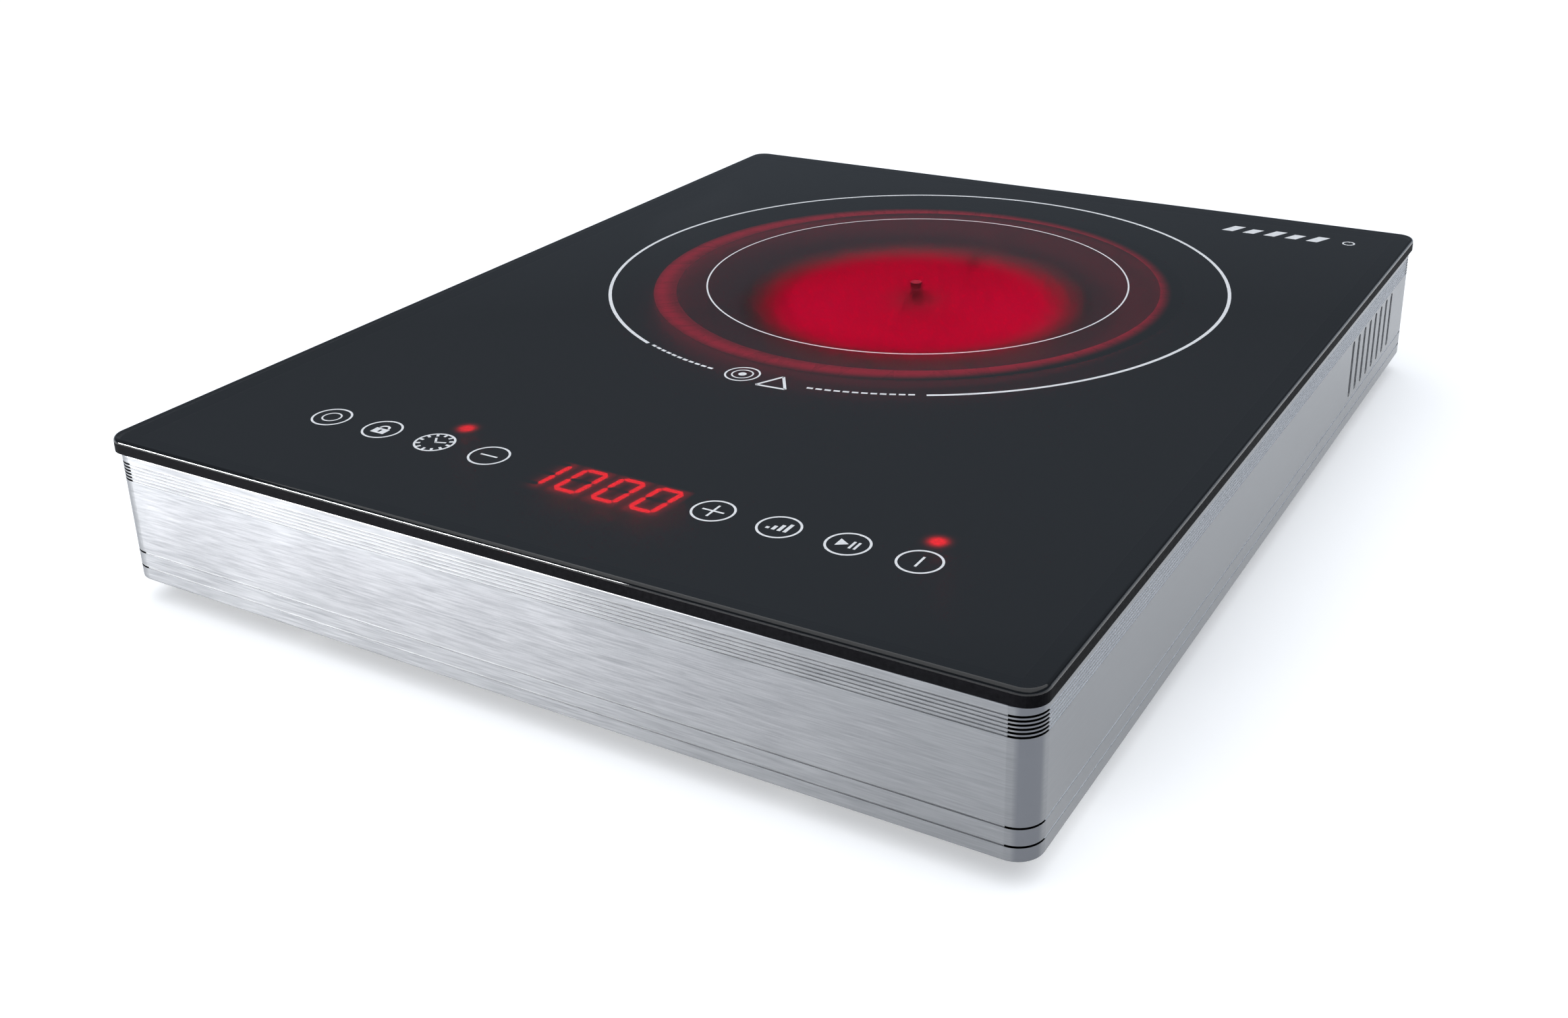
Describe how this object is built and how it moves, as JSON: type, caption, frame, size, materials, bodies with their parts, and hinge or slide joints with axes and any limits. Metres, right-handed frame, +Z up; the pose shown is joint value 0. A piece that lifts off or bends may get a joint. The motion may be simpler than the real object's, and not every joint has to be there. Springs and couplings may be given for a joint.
{
  "type": "radiant hot plate",
  "caption": "Free-standing radiant hot plate: flat dark glass top with touch controls on a grooved aluminium frame with round corners and side air slots, standing on rubber feet.",
  "frame": {"origin": "under the middle of the hob, level with the bottoms of the feet", "axes": "+X right, +Y towards the rear, +Z up; the touch keys are along the front, at -Y"},
  "size_m": [0.29, 0.362, 0.0525],
  "materials": {
    "black_glass": "gloss black tinted glass-ceramic",
    "black_silicone": "matte",
    "brushed_aluminium": "brushed, satin",
    "rivet_aluminium": "plain",
    "zinc_casting": "plain die casting",
    "print_enamel": "fired enamel print",
    "zinc_steel": "zinc plated",
    "base_steel": "black powder coat",
    "foot_rubber": "matte",
    "pan_steel": "pressed, dull",
    "insulation_fibre": "matte pressed fibre",
    "glowing_ribbon": "oxidised, red hot",
    "idle_ribbon": "oxidised",
    "steatite_ceramic": "unglazed",
    "quartz_tube": "clear",
    "brass_tab": "tinned brass",
    "black_plastic": "fine texture",
    "copper_winding": "enamelled copper",
    "board_laminate": "solder mask",
    "spring_steel": "bright wire",
    "display_face": "dark red-tinted face",
    "red_lamp": "translucent red",
    "white_plastic": "natural nylon",
    "relay_plastic": "blue case",
    "core_steel": "varnished laminations",
    "winding_tape": "yellow tape",
    "film_yellow": "yellow case",
    "terminal_green": "green moulding",
    "lead_silicone": "silicone sleeve"
  },
  "bodies": {
    "hob": {"base_plate": "base_steel", "base_screws": "zinc_steel", "board_screws": "zinc_steel", "board_spacers": "white_plastic", "bracket_screws": "zinc_steel", "buzzer": "black_plastic", "carrier_screws": "zinc_steel", "control_board": "board_laminate", "control_carrier": "black_plastic", "cord_grommet": "foot_rubber", "corner_keys": "zinc_casting", "corner_posts": "brushed_aluminium", "display_module": "display_face", "fan_housing": "black_plastic", "fan_screws": "zinc_steel", "fan_stator": "copper_winding", "film_capacitor": "film_yellow", "foot_nuts": "zinc_steel", "foot_screws": "zinc_steel", "front_rail": "brushed_aluminium", "fuse": "quartz_tube", "fuse_clips": "brass_tab", "glass_plate": "black_glass", "glass_seal": "black_silicone", "heat_sink": "rivet_aluminium", "heater_leads": "lead_silicone", "heater_pan": "pan_steel", "indicator_lamps": "red_lamp", "inner_ribbon": "glowing_ribbon", "insulation_base": "insulation_fibre", "insulation_divider": "insulation_fibre", "insulation_rim": "insulation_fibre", "lead_block": "terminal_green", "left_rail": "brushed_aluminium", "limiter_head": "steatite_ceramic", "limiter_rod": "quartz_tube", "outer_ribbon": "idle_ribbon", "pan_brackets": "zinc_steel", "power_board": "board_laminate", "rear_rail": "brushed_aluminium", "relays": "relay_plastic", "reservoir_capacitor": "black_plastic", "right_rail": "brushed_aluminium", "rubber_feet": "foot_rubber", "sensor_bead": "zinc_steel", "sensor_post": "steatite_ceramic", "spacer_screws": "zinc_steel", "terminal_block": "steatite_ceramic", "terminal_tabs": "brass_tab", "touch_springs": "spring_steel", "transformer_coil": "winding_tape", "transformer_core": "core_steel", "triacs": "black_plastic"},
    "fan": {"fan_rotor": "black_plastic"}
  },
  "joints": [
    {"name": "fan_spin", "type": "hinge", "parent": "hob", "child": "fan", "pos_m": [0.1094, 0.1454, 0.0171], "axis": [0, 0, 1], "continuous": true}
  ]
}
